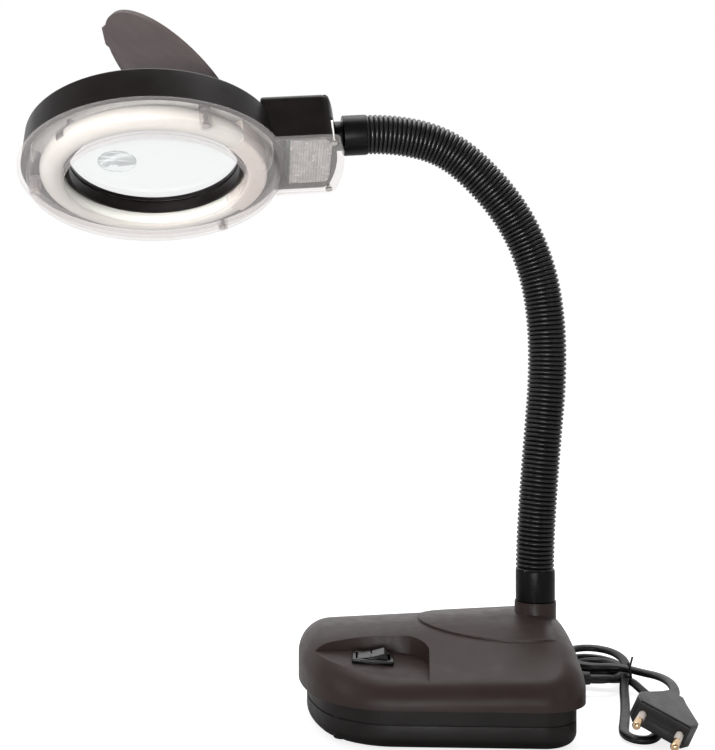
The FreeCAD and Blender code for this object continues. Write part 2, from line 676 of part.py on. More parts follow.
def make_neck_stub():
    """Threaded tube with a flange that spaces the head from the collar."""
    body = rod(stub_r, V(86, 0, neck_height), V(head_reach + 11, 0, neck_height))
    flange = rod(stub_flange_r, V(box_end_r + 0.05, 0, neck_height), V(head_reach - 0.3, 0, neck_height))
    return body.fuse(flange).cut(rod(3.4, V(80, 0, neck_height), V(120, 0, neck_height))).removeSplitter()


def make_head_nut():
    nut = hexagon(13.0, V(87.6, 0, neck_height), V(1, 0, 0), 4.8)
    return nut.cut(rod(stub_r + 0.05, V(80, 0, neck_height), V(110, 0, neck_height)))


def make_upper_collar():
    start, end = V(head_reach, 0, neck_height), V(head_reach + upper_collar_length - 0.1, 0, neck_height)
    collar = rod(collar_r, start, end)
    collar = collar.makeFillet(0.5, [e for e in collar.Edges if e.BoundBox.XMax - e.BoundBox.XMin < 0.1])
    return collar.cut(rod(stub_r + 0.05, start - V(1, 0, 0), end + V(1, 0, 0)))


def make_lid():
    """Disc with a finger tab, a shallow rim below and a hinge barrel, opened about its pin."""
    centre = lid_pin_x - 2.3 - lid_r
    low = lid_pin_z - lid_thickness / 2
    disc = rod(lid_r, V(centre, 0, low), V(centre, 0, low + lid_thickness))
    tab = box((centre - lid_r - 1.8, -8, low), (centre - lid_r + 6, 8, low + lid_thickness))
    tab = tab.makeFillet(1.5, [e for e in tab.Edges if e.BoundBox.ZMax - e.BoundBox.ZMin > 1
                               and e.BoundBox.XMax < centre - lid_r])
    tongue = box((lid_pin_x - 5, -8, low), (lid_pin_x, 8, low + lid_thickness))
    barrel = rod(2.2, V(lid_pin_x, -8, lid_pin_z), V(lid_pin_x, 8, lid_pin_z))
    body = disc.fuse([tab, tongue, barrel])
    body = body.cut(rod(lid_pin_r + 0.05, V(lid_pin_x, -20, lid_pin_z), V(lid_pin_x, 20, lid_pin_z)))
    body = body.removeSplitter()
    body.rotate(V(lid_pin_x, 0, lid_pin_z), V(0, 1, 0), lid_open)
    return body


# Mains lead

def make_gland():
    """Panel bush in the tray wall with a tapered strain relief behind it."""
    wall_x = rear_x - overhang
    tip = lead_route[0][0]
    body = Part.makeCone(5.4, flex_d / 2 + 0.9, tip - wall_x, V(wall_x, gland_y, gland_z), V(1, 0, 0))
    neck_part = rod(gland_neck_r, V(wall_x - 5.0, gland_y, gland_z), V(wall_x, gland_y, gland_z))
    clamp = rod(clamp_r, V(wall_x - 5.0, gland_y, gland_z), V(wall_x - 2.7, gland_y, gland_z))
    return body.fuse([neck_part, clamp]).removeSplitter()


def make_hank():
    """Outer form of the tied turns of flex."""
    body = box((*hank_low, 0.2), (*hank_high, hank_height))
    upright = [e for e in body.Edges if e.BoundBox.ZMax - e.BoundBox.ZMin > 5]
    body = body.makeFillet(13.0, upright)
    return body.makeFillet(3.0, [e for e in body.Edges if e.BoundBox.ZMin > hank_height - 0.1])


def make_twist_tie():
    """Thin wire bent round the turns, with its ends twisted upwards."""
    root, bend, top = V(58.0, 35.6, 9.0), V(60.0, 31.6, 9.4), V(59.2, 31.2, 15.4)
    wire = rod(0.7, root, bend).fuse([Part.makeSphere(0.7, bend), rod(0.7, bend, top), Part.makeSphere(0.7, top)])
    return wire.fuse([rod(0.6, top, V(60.6, 30.8, 21.5)), rod(0.6, top, V(57.8, 30.6, 18.0))])


def plug_frame():
    rotation = FreeCAD.Rotation(plug_yaw, 0, plug_pitch).multiply(FreeCAD.Rotation(V(0, 1, 0), plug_roll))
    return FreeCAD.Placement(V(*plug_centre), rotation)


def in_plug(shape):
    shape.Placement = plug_frame().multiply(shape.Placement)
    return shape


def make_plug():
    """Flat two-pin plug, pins towards -Y of its own frame, lead out of the back."""
    outline = [(-12.8, 0), (12.8, 0), (15.4, 7), (15.4, 12), (7.0, 29), (4.4, 36), (-4.4, 36), (-7.0, 29),
               (-15.4, 12), (-15.4, 7)]
    body = polygon(outline, -6.2).extrude(V(0, 0, 12.4))
    body = body.makeFillet(1.4, [e for e in body.Edges if e.BoundBox.ZMax - e.BoundBox.ZMin < 0.1])
    for side in (-1, 1):
        body = body.cut(plug_pin(side, plug_pin_r + 0.02, -1.0, 5.0))
    return body


def plug_pin(side, radius, start, end):
    x = side * plug_pin_pitch / 2
    return rod(radius, V(x, start, 0), V(x, end, 0))


def make_plug_pins():
    pins = []
    for side in (-1, 1):
        pin = plug_pin(side, plug_pin_r - 0.1, 0, -10.0).fuse(plug_pin(side, plug_pin_r, -10.0, -plug_pin_length))
        pins.append(pin.fuse(plug_pin(side, plug_pin_r, 0.0, 5.0)).removeSplitter())
    return Part.makeCompound(pins)


def main():
    os.makedirs("parts", exist_ok=True)
    export("base_cover", make_cover())
    export("base_tray", make_tray())
    export("ballast_weight", make_ballast())
    export("base_pad", base_prism(pad_inset, 0, pad_thickness - 0.05))
    export("base_screws", make_base_screws())
    export("switch_housing", in_switch(make_switch_housing()))
    export("switch_rocker", in_switch(make_rocker()))
    export("switch_terminals", in_switch(make_switch_terminals()))
    export("terminal_block", make_terminal_block())
    export("neck_root_tube", make_root_tube())
    export("neck_root_nut", make_root_nut())
    export("lower_collar", make_lower_collar())
    for index in range(len(link_turns)):
        export("neck_sleeve_%d" % index, turn_arm(link_body(index, sleeve_r, sleeve_bore)))
        export("neck_core_%d" % index, turn_arm(make_core(index)))
    export("upper_collar", in_head(make_upper_collar()))
    export("neck_stub", in_head(make_neck_stub()))
    export("head_nut", in_head(make_head_nut()))
    export("head_housing", in_head(make_housing()))
    export("magnifier_lens", in_head(make_lens()))
    export("spot_lens", in_head(make_eye_lens()))
    export("lens_ring", in_head(ring(seat_r - 0.1, bore_inner, 1.1, lens_low - 0.1)))
    export("light_tube", in_head(make_light_tube()))
    export("tube_cap", in_head(make_tube_cap()))
    export("tube_clips", in_head(make_tube_clips()))
    export("reflector", in_head(make_reflector()))
    export("clear_cover", in_head(make_clear_cover()))
    export("cover_screws", in_head(make_cover_screws()))
    export("prism_panel", in_head(make_prism_panel()))
    export("driver_board", in_head(make_driver_board()))
    export("driver_parts", in_head(make_driver_parts()))
    export("lid", in_head(make_lid()))
    export("lid_pin", in_head(rod(lid_pin_r, V(lid_pin_x, -12.2, lid_pin_z), V(lid_pin_x, 12.2, lid_pin_z))))
    export("strain_relief", make_gland())
    export("cord_lead", routed_tube(lead_route, flex_d))
    export("cord_hank", make_hank())
    export("cord_loop", routed_tube(loop_route, flex_d))
    export("cord_tail", routed_tube(tail_route, flex_d))
    export("twist_tie", make_twist_tie())
    export("plug_body", in_plug(make_plug()))
    export("plug_pins", in_plug(make_plug_pins()))


main()
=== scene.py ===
import json
import math

import bmesh
import bpy
from mathutils import Matrix, Vector


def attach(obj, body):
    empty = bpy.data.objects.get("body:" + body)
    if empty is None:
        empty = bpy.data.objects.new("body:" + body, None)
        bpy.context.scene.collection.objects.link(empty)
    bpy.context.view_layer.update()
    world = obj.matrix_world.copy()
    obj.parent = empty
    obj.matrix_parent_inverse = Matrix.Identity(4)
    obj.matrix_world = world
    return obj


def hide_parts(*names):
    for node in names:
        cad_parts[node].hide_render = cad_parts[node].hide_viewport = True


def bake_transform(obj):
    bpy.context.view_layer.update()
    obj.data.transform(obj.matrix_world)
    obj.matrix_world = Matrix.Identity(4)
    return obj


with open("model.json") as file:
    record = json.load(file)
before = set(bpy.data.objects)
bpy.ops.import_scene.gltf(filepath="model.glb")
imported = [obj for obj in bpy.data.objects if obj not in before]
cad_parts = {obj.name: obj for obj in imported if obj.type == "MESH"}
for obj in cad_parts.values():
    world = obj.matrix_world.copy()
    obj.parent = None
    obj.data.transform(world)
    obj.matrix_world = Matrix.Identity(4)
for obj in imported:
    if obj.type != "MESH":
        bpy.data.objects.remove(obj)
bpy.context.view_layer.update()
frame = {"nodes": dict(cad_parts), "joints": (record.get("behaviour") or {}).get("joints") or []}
nodes = frame["nodes"]
joints = {joint["name"]: joint for joint in frame["joints"]}
print("frame loaded")

# Directions of the arm and of the head, read from the joints
mm = 0.001
headReach, neckHeight = 0.0998, 0.0175      # the neck's end, from the lens axis and above the rim
armAcross = Vector(joints["neck_bend_1"]["axis"])
armAlong = armAcross.cross(Vector((0, 0, 1)))
headX = Vector(joints["head_twist"]["axis"]).normalized()
headY = Vector(joints["lid_hinge"]["axis"]).normalized()
headZ = headX.cross(headY)
headOrigin = Vector(joints["head_twist"]["pos_m"]) - headX * headReach - headZ * neckHeight
headMatrix = Matrix.Translation(headOrigin) @ Matrix((headX, headY, headZ)).transposed().to_4x4()


# Camera, light and floor

studio = {
    "cameraPlace": (-0.0967, -0.5886, 0.177),
    "cameraTilt": 90.53,
    "lens": 51.84,
    "worldFront": 0.12,         # the room is dim in front of the lamp and bright behind it
    "worldBack": 1.0,
    "worldTurnsFrom": -0.35,    # Y of the direction where the room starts to brighten, and where it stops
    "worldTurnsTo": 0.75,
    "floorSize": 6,
    "floorRoughness": 0.9,
    "floorGlow": 0.8,
    "floorColour": (0.62, 0.62, 0.62, 1),
    "softBoxes": (              # name, place, aim, size, power and spread
        ("topLight", (-0.1, 0.15, 1.1), (-0.1, 0, 0.1), (0.9, 0.7), 7.0, 180),
        ("leftLight", (-1.1, -0.5, 0.55), (-0.1, 0, 0.15), (0.35, 0.9), 2.2, 180),
        ("rightLight", (0.8, -0.9, 0.5), (0, 0, 0.15), (0.3, 0.8), 1.2, 180),
        ("headLight", (-0.35, -0.8, 0.06), (-0.25, -0.02, 0.37), (0.7, 0.4), 3.4, 70),
    ),
}


def makeWorld(values):
    world = bpy.data.worlds.new("studioWorld")
    world.use_nodes = True
    tree = world.node_tree
    room = tree.nodes["Background"]
    coordinates = tree.nodes.new("ShaderNodeTexCoord")
    split = tree.nodes.new("ShaderNodeSeparateXYZ")
    spread = tree.nodes.new("ShaderNodeMapRange")
    spread.inputs["From Min"].default_value = values["worldTurnsFrom"]
    spread.inputs["From Max"].default_value = values["worldTurnsTo"]
    spread.inputs["To Min"].default_value = values["worldFront"]
    spread.inputs["To Max"].default_value = values["worldBack"]
    tree.links.new(coordinates.outputs["Generated"], split.inputs["Vector"])
    tree.links.new(split.outputs["Y"], spread.inputs["Value"])
    tree.links.new(spread.outputs["Result"], room.inputs["Strength"])
    room.inputs["Color"].default_value = (1, 1, 1, 1)
    paper = tree.nodes.new("ShaderNodeBackground")
    paper.inputs["Color"].default_value = (1, 1, 1, 1)
    paper.inputs["Strength"].default_value = 1.0
    path = tree.nodes.new("ShaderNodeLightPath")
    mix = tree.nodes.new("ShaderNodeMixShader")
    tree.links.new(path.outputs["Is Camera Ray"], mix.inputs["Fac"])
    tree.links.new(room.outputs["Background"], mix.inputs[1])
    tree.links.new(paper.outputs["Background"], mix.inputs[2])
    tree.links.new(mix.outputs["Shader"], tree.nodes["World Output"].inputs["Surface"])
    bpy.context.scene.world = world


def makeFloor(values):
    form = bmesh.new()
    bmesh.ops.create_grid(form, x_segments=1, y_segments=1, size=values["floorSize"])
    mesh = bpy.data.meshes.new("floor")
    form.to_mesh(mesh)
    form.free()
    floor = bpy.data.objects.new("floor", mesh)
    bpy.context.scene.collection.objects.link(floor)
    material = bpy.data.materials.new("floorPaper")
    material.use_nodes = True
    tree = material.node_tree
    shader = tree.nodes["Principled BSDF"]
    shader.inputs["Base Color"].default_value = values["floorColour"]
    shader.inputs["Roughness"].default_value = values["floorRoughness"]
    glow = tree.nodes.new("ShaderNodeEmission")
    glow.inputs["Strength"].default_value = values["floorGlow"]
    dark = tree.nodes.new("ShaderNodeEmission")
    dark.inputs["Strength"].default_value = 0
    path = tree.nodes.new("ShaderNodeLightPath")
    mix = tree.nodes.new("ShaderNodeMixShader")
    total = tree.nodes.new("ShaderNodeAddShader")
    tree.links.new(path.outputs["Is Camera Ray"], mix.inputs["Fac"])
    tree.links.new(dark.outputs["Emission"], mix.inputs[1])
    tree.links.new(glow.outputs["Emission"], mix.inputs[2])
    tree.links.new(shader.outputs["BSDF"], total.inputs[0])
    tree.links.new(mix.outputs["Shader"], total.inputs[1])
    tree.links.new(total.outputs["Shader"], tree.nodes["Material Output"].inputs["Surface"])
    mesh.materials.append(material)


def makeStudio(values):
    scene = bpy.context.scene
    scene.view_settings.view_transform = "Standard"
    makeWorld(values)
    makeFloor(values)

    camera = bpy.data.cameras.new("camera")
    camera.lens = values["lens"]
    camera.sensor_width = 36
    camera.clip_start = 0.01
    cameraObject = bpy.data.objects.new("camera", camera)
    cameraObject.location = values["cameraPlace"]
    cameraObject.rotation_euler = (math.radians(values["cameraTilt"]), 0, 0)
    scene.collection.objects.link(cameraObject)
    scene.camera = cameraObject

    for name, place, aim, size, power, spread in values["softBoxes"]:
        lamp = bpy.data.lights.new(name, "AREA")
        lamp.shape = "RECTANGLE"
        lamp.size, lamp.size_y = size
        lamp.energy = power
        lamp.spread = math.radians(spread)
        lampObject = bpy.data.objects.new(name, lamp)
        lampObject.location = place
        lampObject.rotation_euler = (Vector(aim) - Vector(place)).to_track_quat("-Z", "Y").to_euler()
        scene.collection.objects.link(lampObject)


makeStudio(studio)
print("studio ready")


# Materials

plasticPattern = {
    "clouds": 45,               # scales of the patterns in colour, gloss and waviness
    "sheen": 160,
    "waves": 22,
    "waveHeight": 0.0003,
}


def newMaterial(name, colour, roughness, metallic=0.0, **sockets):
    material = bpy.data.materials.new(name)
    material.use_nodes = True
    shader = material.node_tree.nodes["Principled BSDF"]
    shader.inputs["Base Color"].default_value = (*colour, 1)
    shader.inputs["Roughness"].default_value = roughness
    shader.inputs["Metallic"].default_value = metallic
    for socket, value in sockets.items():
        shader.inputs[socket].default_value = value
    return material


def link(material, source, target):
    material.node_tree.links.new(source, target)


def addNoise(material, scale, detail=3.0, distortion=0.0, stretch=(1, 1, 1)):
    tree = material.node_tree
    coordinates = tree.nodes.new("ShaderNodeTexCoord")
    mapping = tree.nodes.new("ShaderNodeMapping")
    mapping.inputs["Scale"].default_value = stretch
    noiseNode = tree.nodes.new("ShaderNodeTexNoise")
    noiseNode.inputs["Scale"].default_value = scale
    noiseNode.inputs["Detail"].default_value = detail
    noiseNode.inputs["Distortion"].default_value = distortion
    link(material, coordinates.outputs["Object"], mapping.inputs["Vector"])
    link(material, mapping.outputs["Vector"], noiseNode.inputs["Vector"])
    return noiseNode.outputs["Fac"]


def addRange(material, source, low, high, fromLow=0.3, fromHigh=0.7):
    spread = material.node_tree.nodes.new("ShaderNodeMapRange")
    spread.inputs["From Min"].default_value = fromLow
    spread.inputs["From Max"].default_value = fromHigh
    spread.inputs["To Min"].default_value = low
    spread.inputs["To Max"].default_value = high
    link(material, source, spread.inputs["Value"])
    return spread.outputs["Result"]


def varyColour(material, source, dark, light, fromLow=0.3, fromHigh=0.7):
    ramp = material.node_tree.nodes.new("ShaderNodeValToRGB")
    ramp.color_ramp.elements[0].position = fromLow
    ramp.color_ramp.elements[1].position = fromHigh
    ramp.color_ramp.elements[0].color = (*dark, 1)
    ramp.color_ramp.elements[1].color = (*light, 1)
    link(material, source, ramp.inputs["Fac"])
    link(material, ramp.outputs["Color"], material.node_tree.nodes["Principled BSDF"].inputs["Base Color"])


def addBump(material, source, height, strength=1.0, after=None):
    bump = material.node_tree.nodes.new("ShaderNodeBump")
    bump.inputs["Strength"].default_value = strength
    bump.inputs["Distance"].default_value = height
    link(material, source, bump.inputs["Height"])
    if after:
        link(material, after, bump.inputs["Normal"])
    link(material, bump.outputs["Normal"], material.node_tree.nodes["Principled BSDF"].inputs["Normal"])
    return bump.outputs["Normal"]


def driveRoughness(material, source, low, high):
    link(material, addRange(material, source, low, high),
         material.node_tree.nodes["Principled BSDF"].inputs["Roughness"])


def mouldedPlastic(name, dark, light, roughness, grain=0.00003, grainScale=2600, gloss=0.5):
    material = newMaterial(name, light, roughness, **{"Specular IOR Level": gloss})
    varyColour(material, addNoise(material, plasticPattern["clouds"]), dark, light)
    driveRoughness(material, addNoise(material, plasticPattern["sheen"]), roughness - 0.04, roughness + 0.06)
    fine = addBump(material, addNoise(material, grainScale, 2), grain, 0.6)
    addBump(material, addNoise(material, plasticPattern["waves"], 1), plasticPattern["waveHeight"], 0.1, fine)
    return material


def clearPlastic(name, tint, paintedEdgeHighlight, facing, strongest):
    # Lets light straight through, with gloss and a pale painted highlight colour that grow where the surface
    # turns away
    material = newMaterial(name, paintedEdgeHighlight, 0.04)
    tree = material.node_tree
    through = tree.nodes.new("ShaderNodeBsdfTransparent")
    through.inputs["Color"].default_value = (*tint, 1)
    weight = tree.nodes.new("ShaderNodeLayerWeight")
    weight.inputs["Blend"].default_value = facing
    share = addRange(material, weight.outputs["Facing"], 0.03, strongest, 0.0, 1.0)
    mix = tree.nodes.new("ShaderNodeMixShader")
    link(material, share, mix.inputs["Fac"])
    link(material, through.outputs["BSDF"], mix.inputs[1])
    link(material, tree.nodes["Principled BSDF"].outputs["BSDF"], mix.inputs[2])
    link(material, mix.outputs["Shader"], tree.nodes["Material Output"].inputs["Surface"])
    driveRoughness(material, addNoise(material, 120), 0.02, 0.09)
    return material


def polishedGlass(name, tint, ior):
    # Bends light; lamps still reach what is behind it
    material = newMaterial(name, tint, 0.0, IOR=ior)
    tree = material.node_tree
    shader = tree.nodes["Principled BSDF"]
    shader.inputs["Transmission Weight"].default_value = 1
    through = tree.nodes.new("ShaderNodeBsdfTransparent")
    through.inputs["Color"].default_value = (*tint, 1)
    path = tree.nodes.new("ShaderNodeLightPath")
    mix = tree.nodes.new("ShaderNodeMixShader")
    link(material, path.outputs["Is Shadow Ray"], mix.inputs["Fac"])
    link(material, shader.outputs["BSDF"], mix.inputs[1])
    link(material, through.outputs["BSDF"], mix.inputs[2])
    link(material, mix.outputs["Shader"], tree.nodes["Material Output"].inputs["Surface"])
    driveRoughness(material, addNoise(material, 60), 0.0, 0.012)
    return material


def brushedMetal(name, colour, roughness):
    material = newMaterial(name, colour, roughness, 1.0)
    streaks = addNoise(material, 900, 2, 0.2, (1, 1, 0.08))
    varyColour(material, streaks, tuple(c * 0.82 for c in colour), colour)
    driveRoughness(material, streaks, roughness - 0.07, roughness + 0.1)
    addBump(material, streaks, 0.00002, 0.5)
    return material


basePlastic = mouldedPlastic("basePlastic", 
                             (0.034, 0.0213, 0.02), (0.041, 0.0262, 0.025), 0.38, gloss=0.25)
trayPlastic = mouldedPlastic("trayPlastic", 
                             (0.0105, 0.0085, 0.008), (0.015, 0.0122, 0.0115), 0.4, gloss=0.25)
headPlastic = mouldedPlastic("headPlastic", 
                             (0.005, 0.0034, 0.0034), (0.008, 0.0055, 0.0055), 0.34, 0.00001, gloss=0.17)
lidPlastic = mouldedPlastic("lidPlastic", 
                            (0.07, 0.056, 0.056), (0.088, 0.067, 0.067), 0.42, 0.00001, gloss=0.38)
switchPlastic = mouldedPlastic("switchPlastic", 
                               (0.004, 0.004, 0.004), (0.007, 0.007, 0.007), 0.14, 0.000005)
neckPlastic = mouldedPlastic("neckPlastic", (0.004, 0.004, 0.004), (0.008, 0.0075, 0.0075), 0.3, 0.00001)
collarPaint = mouldedPlastic("collarPaint", 
                             (0.003, 0.003, 0.003), (0.0055, 0.005, 0.005), 0.28, 0.00001, gloss=0.15)
flexPlastic = mouldedPlastic("flexPlastic", (0.007, 0.006, 0.006), (0.012, 0.0105, 0.0105), 0.38)
plugPlastic = mouldedPlastic("plugPlastic", (0.006, 0.005, 0.005), (0.011, 0.0095, 0.0095), 0.34)
ivoryPlastic = mouldedPlastic("ivoryPlastic", (0.74, 0.66, 0.6), (0.8, 0.73, 0.68), 0.3, 0.00001)
whitePlastic = mouldedPlastic("whitePlastic", (0.76, 0.76, 0.73), (0.82, 0.82, 0.8), 0.25, 0.00001)
tubeGlass = mouldedPlastic("tubeGlass", (0.72, 0.71, 0.66), (0.78, 0.77, 0.72), 0.16, 0.000002)
boardLaminate = mouldedPlastic("boardLaminate", (0.02, 0.07, 0.03), (0.03, 0.1, 0.045), 0.4, 0.00001)
foamRubber = mouldedPlastic("foamRubber", (0.008, 0.008, 0.008), (0.02, 0.02, 0.02), 0.85, 0.0002, 900)
castIron = mouldedPlastic("castIron", (0.06, 0.055, 0.05), (0.11, 0.1, 0.1), 0.7, 0.0003, 500)
castIron.node_tree.nodes["Principled BSDF"].inputs["Metallic"].default_value = 0.8
# clearCover's third colour is a pale painted highlight, shown where the cover turns edge-on
clearCover = clearPlastic("clearCover", (0.975, 0.965, 0.962), (0.8, 0.77, 0.77), 0.3, 0.4)
lensGlass = polishedGlass("lensGlass", (0.965, 0.975, 0.978), 1.45)
# spotGlass's third colour is a pale greenish painted highlight along the lens outline
spotGlass = clearPlastic("spotGlass", (0.984, 0.988, 0.988), (0.75, 0.82, 0.82), 0.15, 0.12)
edgeGlass = newMaterial("edgeGlass", (0.5, 0.56, 0.55), 0.08)
varyColour(edgeGlass, addNoise(edgeGlass, 90), (0.36, 0.42, 0.41), (0.66, 0.7, 0.7))
driveRoughness(edgeGlass, addNoise(edgeGlass, 300), 0.04, 0.14)
prismFoil = newMaterial("prismFoil", (0.72, 0.71, 0.7), 0.2, 0.55)
varyColour(prismFoil, addNoise(prismFoil, 260), (0.4, 0.39, 0.38), (0.72, 0.71, 0.7))
driveRoughness(prismFoil, addNoise(prismFoil, 400), 0.12, 0.3)

plainSteel = brushedMetal("plainSteel", (0.55, 0.54, 0.52), 0.32)
brightSteel = brushedMetal("brightSteel", (0.8, 0.78, 0.74), 0.14)
pinBrass = brushedMetal("pinBrass", (0.86, 0.6, 0.36), 0.2)
springSteel = brushedMetal("springSteel", (0.7, 0.7, 0.7), 0.2)
print("materials ready")


# Making pieces

samePlace = 1e-7            # corners closer than this are one


def addPiece(name, form, material, body, replaced, angle):
    mesh = bpy.data.meshes.new(name)
    for face in form.faces:
        face.smooth = True
    form.to_mesh(mesh)
    form.free()
    mesh.set_sharp_from_angle(angle=math.radians(angle))
    mesh.materials.append(material)
    piece = bpy.data.objects.new(name, mesh)
    bpy.context.scene.collection.objects.link(piece)
    if body:
        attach(piece, body)
    if replaced:
        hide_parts(*replaced)
    return piece


def finishPiece(name, form, material, body, matrix=None, replaced=(), angle=35):
    bmesh.ops.remove_doubles(form, verts=form.verts, dist=samePlace)
    bmesh.ops.recalc_face_normals(form, faces=form.faces)
    if matrix is not None:
        form.transform(matrix)
    return addPiece(name, form, material, body, replaced, angle)


def smoothCopy(node, name, material, body, angle=28, bevel=0.0, segments=2):
    # A merged copy of a CAD node, shaded smooth, with its edges rounded
    form = bmesh.new()
    form.from_mesh(nodes[node].data)
    bmesh.ops.remove_doubles(form, verts=form.verts, dist=2e-6)
    bmesh.ops.dissolve_degenerate(form, edges=form.edges, dist=1e-6)
    piece = addPiece(name, form, material, body, (node,), angle)
    if bevel:
        rounding = piece.modifiers.new("rounding", "BEVEL")
        rounding.width = bevel
        rounding.segments = segments
        rounding.limit_method = "ANGLE"
        rounding.angle_limit = math.radians(angle + 2)
        rounding.harden_normals = True
    return piece


def lathe(form, profile, steps=160, angle=360, start=0):
    # Turns a closed outline of radius and height in millimetres about the Z axis
    points = [form.verts.new((radius * mm, 0, height * mm)) for radius, height in profile]
    edges = [form.edges.new((a, b)) for a, b in zip(points, points[1:] + points[:1])]
    turn = Matrix.Rotation(math.radians(start), 4, "Z")
    bmesh.ops.transform(form, matrix=turn, verts=points)
    before = set(form.faces)
    made = bmesh.ops.spin(form, geom=points + edges, cent=(0, 0, 0), axis=(0, 0, 1),
                          angle=math.radians(angle), steps=steps, use_merge=angle == 360)
    if angle != 360:
        last = [edge for edge in made["geom_last"] if isinstance(edge, bmesh.types.BMEdge)]
        bmesh.ops.holes_fill(form, edges=edges, sides=0)
        bmesh.ops.holes_fill(form, edges=last, sides=0)
    return [face for face in form.faces if face not in before]


def roundedProfile(points, radii, steps=5):
    # Rounds the corners of an outline, by one radius or by a radius for each corner
    rounded = []
    for index, point in enumerate(points):
        radius = radii[index] if isinstance(radii, (list, tuple)) else radii
        corner = Vector(point)
        before = Vector(points[index - 1]) - corner
        after = Vector(points[(index + 1) % len(points)]) - corner
        if radius <= 0:
            rounded.append(tuple(corner))
            continue
        half = before.angle(after) / 2
        reach = min(radius / math.tan(half), before.length * 0.49, after.length * 0.49)
        start, end = corner + before.normalized() * reach, corner + after.normalized() * reach
        for step in range(steps + 1):
            t = step / steps
            mid = start.lerp(corner, t).lerp(corner.lerp(end, t), t)
            rounded.append(tuple(mid))
    return rounded


# Mains lead: flat twin flex from the base, tied in a hank, with a two-pin plug

flexValues = {
    "width": 0.0052,
    "strandRadius": 0.00195,
    "strandOffset": 0.00065,
    "lead": ((35.5, 28, 10), (42.5, 28, 10), (49, 30.5, 9.2), (52, 36.2, 7.5)),
    "loop": ((50, 41, 5.6), (57, 39.5, 6.4), (61.5, 35, 6.3), (64, 24, 4.4), (66.5, 12, 3.0),
             (65.5, -1, 2.7), (62, -15, 2.7), (58, -29, 2.7), (54.5, -42, 2.7), (52, -51, 2.7),
             (46, -57.5, 2.7), (39.5, -56, 2.7), (36.5, -49, 2.7), (38, -40, 2.7), (41.5, -28, 2.7),
             (45, -15, 2.7), (48.5, -1, 2.7), (51.5, 12, 3.0), (54, 24, 4.4), (57, 35, 6.6)),
    "topTurn": ((61.5, 46, 10.5), (62.5, 58, 13.2), (58.5, 70, 14.8), (49, 78, 15.2),
                (38, 77, 15.2), (30, 69, 15), (27.5, 57, 14.2), (31, 46, 13.4), (40, 41, 13),
                (50, 41.5, 13), (58.5, 39, 12.8)),
    "tail": ((66.5, 30, 12.5), (72.2, 17, 14), (74.5, 3, 14.3), (72.8, -11, 14), (68.51, -23.49, 13.7),
             (64.44, -32.62, 13.53)),
    "coilCentre": (45, 60),
    "coilHalf": (17.6, 22.6),
    "coilTurns": 3,
    "pointsPerTurn": 12,
    "coilStart": -0.95,         # radians
    "tightenFrom": 1.5,         # turns, after which the hank draws in faster
    "slowTighten": 0.02,        # shares of its size lost in a turn
    "fastTighten": 0.36,
    "tightest": 0.68,
    "coilWobble": 0.02,
    "coilLow": 3.0,
    "coilRise": 6.5,
    "riseTurns": 3.6,
}


def coilPoints(values):
    # Turns of the hank, from its outside at the bottom to its inside
    points = []
    for index in range(1, values["coilTurns"] * values["pointsPerTurn"] - 1):
        turn = index / values["pointsPerTurn"]
        around = 2 * math.pi * turn + values["coilStart"]
        slow = min(turn, values["tightenFrom"])
        fast = turn - slow
        inward = max(values["tightest"], 1 - values["slowTighten"] * slow - values["fastTighten"] * fast)
        loose = inward * (1 + values["coilWobble"] * math.sin(2.4 * turn + 0.6))
        x = values["coilCentre"][0] + values["coilHalf"][0] * loose * math.cos(around)
        y = values["coilCentre"][1] + values["coilHalf"][1] * loose * math.sin(around)
        rise = 0.5 - 0.5 * math.cos(2 * math.pi * turn / values["riseTurns"])
        z = values["coilLow"] + values["coilRise"] * rise
        points.append((x, y, z))
    return points


def makeFlex(values):
    route = [*values["lead"], *coilPoints(values), *values["loop"], *values["topTurn"], *values["tail"]]
    profile = bpy.data.curves.new("flexProfile", "CURVE")
    profile.dimensions = "2D"
    outline = profile.splines.new("POLY")
    ring = []
    for side in (1, -1):
        for step in range(9):
            around = math.radians(-75 + 150 * step / 8)
            ring.append((side * (values["strandOffset"] + values["strandRadius"] * math.cos(around)),
                         side * values["strandRadius"] * math.sin(around)))
    outline.points.add(len(ring) - 1)
    for point, (x, y) in zip(outline.points, ring):
        point.co = (x, y, 0, 1)
    outline.use_cyclic_u = True
    profileObject = bpy.data.objects.new("flexProfile", profile)
    bpy.context.scene.collection.objects.link(profileObject)
    profileObject.hide_render = True
    profileObject.hide_viewport = True

    curve = bpy.data.curves.new("mainsFlex", "CURVE")
    curve.dimensions = "3D"
    curve.twist_mode = "Z_UP"
    curve.bevel_mode = "OBJECT"
    curve.bevel_object = profileObject
    curve.use_fill_caps = True
    curve.resolution_u = 8
    line = curve.splines.new("NURBS")
    line.points.add(len(route) - 1)
    for point, place in zip(line.points, route):
        point.co = (*(Vector(place) * mm), 1)
    line.order_u = 3
    line.use_endpoint_u = True
    curve.materials.append(flexPlastic)
    flex = bpy.data.objects.new("mainsFlex", curve)
    bpy.context.scene.collection.objects.link(flex)
    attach(flex, "base")
    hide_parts("cord_lead", "cord_hank", "cord_loop", "cord_tail")
    plain = curve.copy()
    plain.bevel_object = None
    plain.bevel_mode = "ROUND"
    path = bpy.data.meshes.new_from_object(bpy.data.objects.new("flexPath", plain))
    length = sum((a.co - b.co).length for a, b in zip(path.vertices, path.vertices[1:]))
    print("flex length", round(length, 3))
    return flex, Vector(route[0]) * mm, length


flex, flexExit, flexLength = makeFlex(flexValues)


# Plug: soft-edged body, pins with ivory sleeves and brass tips

plugValues = {
    "centre": (49.8, -65.5, 12.9),
    "turns": (-24, 1, 24),      # about Z, X and Y
    "pinPitch": 19,
    "sleeve": ((0, -1), (1.88, -1), (1.88, 10.1), (0, 10.1)),
    "tip": ((0, 9.9), (1.99, 9.9), (1.99, 17.4), (1.75, 18.5), (1.1, 18.95), (0, 19)),
}


